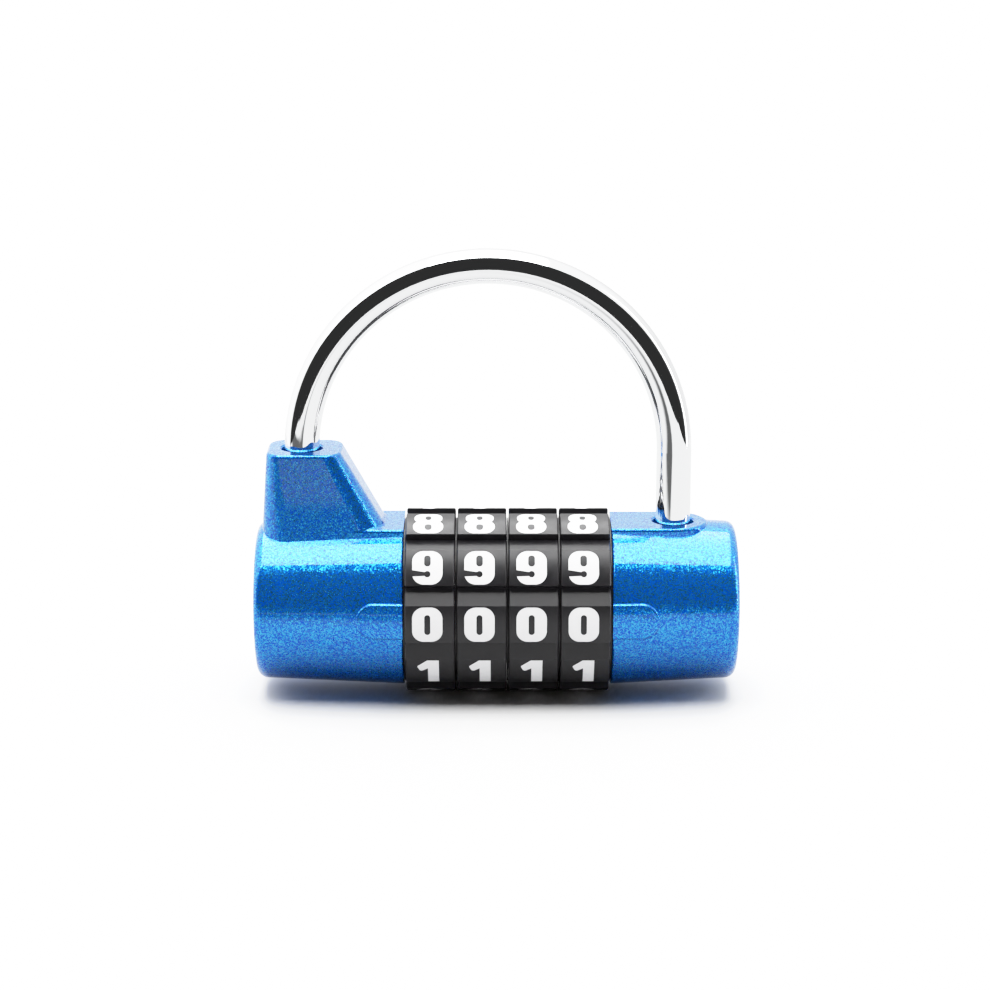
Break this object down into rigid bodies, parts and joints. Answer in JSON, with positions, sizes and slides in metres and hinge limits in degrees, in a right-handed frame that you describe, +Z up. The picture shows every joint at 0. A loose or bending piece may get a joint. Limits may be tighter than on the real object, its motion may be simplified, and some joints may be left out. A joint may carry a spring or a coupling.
{
  "type": "luggage combination padlock",
  "caption": "Barrel-shaped luggage padlock with number dials, a tall arched shackle that lifts, and a tapered metal body with a gusseted shackle tower.",
  "frame": {"origin": "on the ground under the middle of the barrel, where the dials touch it", "axes": "+X along the barrel towards the shackle's toe, +Z up through the shackle, and the code is read from -Y"},
  "size_m": [0.066, 0.0252, 0.0618],
  "materials": {
    "blue_paint": "metallic blue paint with fine flake",
    "chrome": "polished",
    "black_plastic": "satin moulded",
    "white_paint": "filled engraving",
    "steel": "turned",
    "spring_steel": "drawn wire and strip",
    "brass": "cast and tumbled"
  },
  "bodies": {
    "housing": {"left_body": "blue_paint", "right_body": "blue_paint", "core_tube": "steel", "left_retaining_pin": "steel", "right_retaining_pin": "steel", "shackle_stop_pin": "steel", "spindle_spring": "spring_steel", "hub_disc_spring": "spring_steel", "spacer_washer_1": "black_plastic", "spacer_washer_2": "black_plastic", "spacer_washer_3": "black_plastic", "spacer_washer_4": "black_plastic", "spacer_washer_5": "black_plastic", "detent_spring_1": "spring_steel", "detent_spring_2": "spring_steel", "detent_spring_3": "spring_steel", "detent_spring_4": "spring_steel"},
    "shackle": {"shackle": "chrome"},
    "spindle": {"spindle": "steel"},
    "dial_1": {"dial_1": "black_plastic", "dial_1_numerals": "white_paint", "code_hub_1": "brass"},
    "dial_2": {"dial_2": "black_plastic", "dial_2_numerals": "white_paint", "code_hub_2": "brass"},
    "dial_3": {"dial_3": "black_plastic", "dial_3_numerals": "white_paint", "code_hub_3": "brass"},
    "dial_4": {"dial_4": "black_plastic", "dial_4_numerals": "white_paint", "code_hub_4": "brass"}
  },
  "joints": [
    {"name": "shackle_lift", "type": "slide", "parent": "housing", "child": "shackle", "axis": [0, 0, 1], "range_m": [0, 0.0085]},
    {"name": "spindle_slide", "type": "slide", "parent": "housing", "child": "spindle", "axis": [1, 0, 0], "range_m": [0, 0.0023], "stiffness_N_per_m": 300, "springref_m": -0.003, "deforming": ["spindle_spring"]},
    {"name": "dial_1_turn", "type": "hinge", "parent": "housing", "child": "dial_1", "pos_m": [0, 0, 0.01259], "axis": [1, 0, 0], "continuous": true, "deforming": ["detent_spring_1"]},
    {"name": "dial_2_turn", "type": "hinge", "parent": "housing", "child": "dial_2", "pos_m": [0, 0, 0.01259], "axis": [1, 0, 0], "continuous": true, "deforming": ["detent_spring_2"]},
    {"name": "dial_3_turn", "type": "hinge", "parent": "housing", "child": "dial_3", "pos_m": [0, 0, 0.01259], "axis": [1, 0, 0], "continuous": true, "deforming": ["detent_spring_3"]},
    {"name": "dial_4_turn", "type": "hinge", "parent": "housing", "child": "dial_4", "pos_m": [0, 0, 0.01259], "axis": [1, 0, 0], "continuous": true, "deforming": ["detent_spring_4"]}
  ],
  "couplings": [
    {"joint": "spindle_slide", "follows": "shackle_lift", "ratio": 0.27059}
  ]
}
